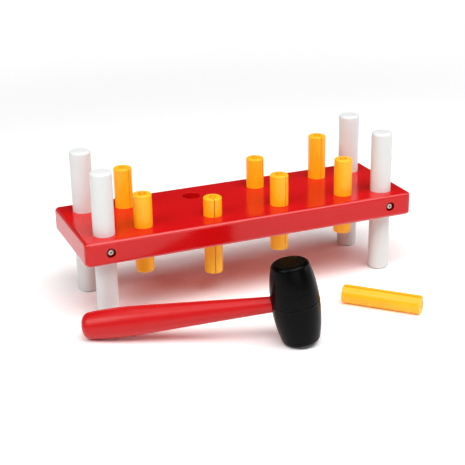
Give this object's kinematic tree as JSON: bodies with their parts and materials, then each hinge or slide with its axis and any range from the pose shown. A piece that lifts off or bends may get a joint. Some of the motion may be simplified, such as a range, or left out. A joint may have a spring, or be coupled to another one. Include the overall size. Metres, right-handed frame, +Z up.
{
  "type": "peg pounding bench",
  "caption": "Toy pounding bench: a flat board on dowel legs that stand out above and below it, with split springy pegs through two rows of holes, and a small mallet.",
  "frame": {"origin": "on the floor, at the middle of the space that the bench, the mallet and the loose peg take up together", "axes": "+X along the board to the right, +Y across the board to its back edge, +Z up"},
  "size_m": [0.2744, 0.1826, 0.113],
  "materials": {
    "board_paint": "gloss red paint",
    "leg_paint": "satin off-white paint",
    "handle_paint": "gloss red paint",
    "head_rubber": "smooth moulded, satin",
    "peg_plastic": "smooth moulded",
    "screw_steel": "zinc plated"
  },
  "bodies": {
    "bench": {"board": "board_paint", "leg_front_left": "leg_paint", "leg_front_right": "leg_paint", "leg_back_left": "leg_paint", "leg_back_right": "leg_paint", "screw_front_left": "screw_steel", "screw_front_right": "screw_steel", "screw_back_left": "screw_steel", "screw_back_right": "screw_steel"},
    "front_peg_1": {"peg_front_1": "peg_plastic"},
    "front_peg_2": {"peg_front_2": "peg_plastic"},
    "front_peg_3": {"peg_front_3": "peg_plastic"},
    "front_peg_4": {"peg_front_4": "peg_plastic"},
    "back_peg_1": {"peg_back_1": "peg_plastic"},
    "back_peg_3": {"peg_back_3": "peg_plastic"},
    "back_peg_4": {"peg_back_4": "peg_plastic"},
    "loose_peg": {"peg_loose": "peg_plastic"},
    "mallet": {"mallet_handle": "handle_paint", "mallet_head": "head_rubber"}
  },
  "joints": [
    {"name": "front_peg_1_slide", "type": "slide", "parent": "bench", "child": "front_peg_1", "axis": [0, 0, 1], "range_m": [-0.0249, 0.0361]},
    {"name": "front_peg_2_slide", "type": "slide", "parent": "bench", "child": "front_peg_2", "axis": [0, 0, 1], "range_m": [-0.0141, 0.0469]},
    {"name": "front_peg_3_slide", "type": "slide", "parent": "bench", "child": "front_peg_3", "axis": [0, 0, 1], "range_m": [-0.024, 0.037]},
    {"name": "front_peg_4_slide", "type": "slide", "parent": "bench", "child": "front_peg_4", "axis": [0, 0, 1], "range_m": [-0.0289, 0.0321]},
    {"name": "back_peg_1_slide", "type": "slide", "parent": "bench", "child": "back_peg_1", "axis": [0, 0, 1], "range_m": [-0.031, 0.03]},
    {"name": "back_peg_3_slide", "type": "slide", "parent": "bench", "child": "back_peg_3", "axis": [0, 0, 1], "range_m": [-0.0238, 0.0372]},
    {"name": "back_peg_4_slide", "type": "slide", "parent": "bench", "child": "back_peg_4", "axis": [0, 0, 1], "range_m": [-0.035, 0.026]},
    {"name": "loose_peg_lift", "type": "slide", "parent": "bench", "child": "loose_peg", "axis": [0, 0, 1], "range_m": [0, 0.12]},
    {"name": "mallet_lift", "type": "slide", "parent": "bench", "child": "mallet", "axis": [0, 0, 1], "range_m": [0, 0.12]}
  ]
}
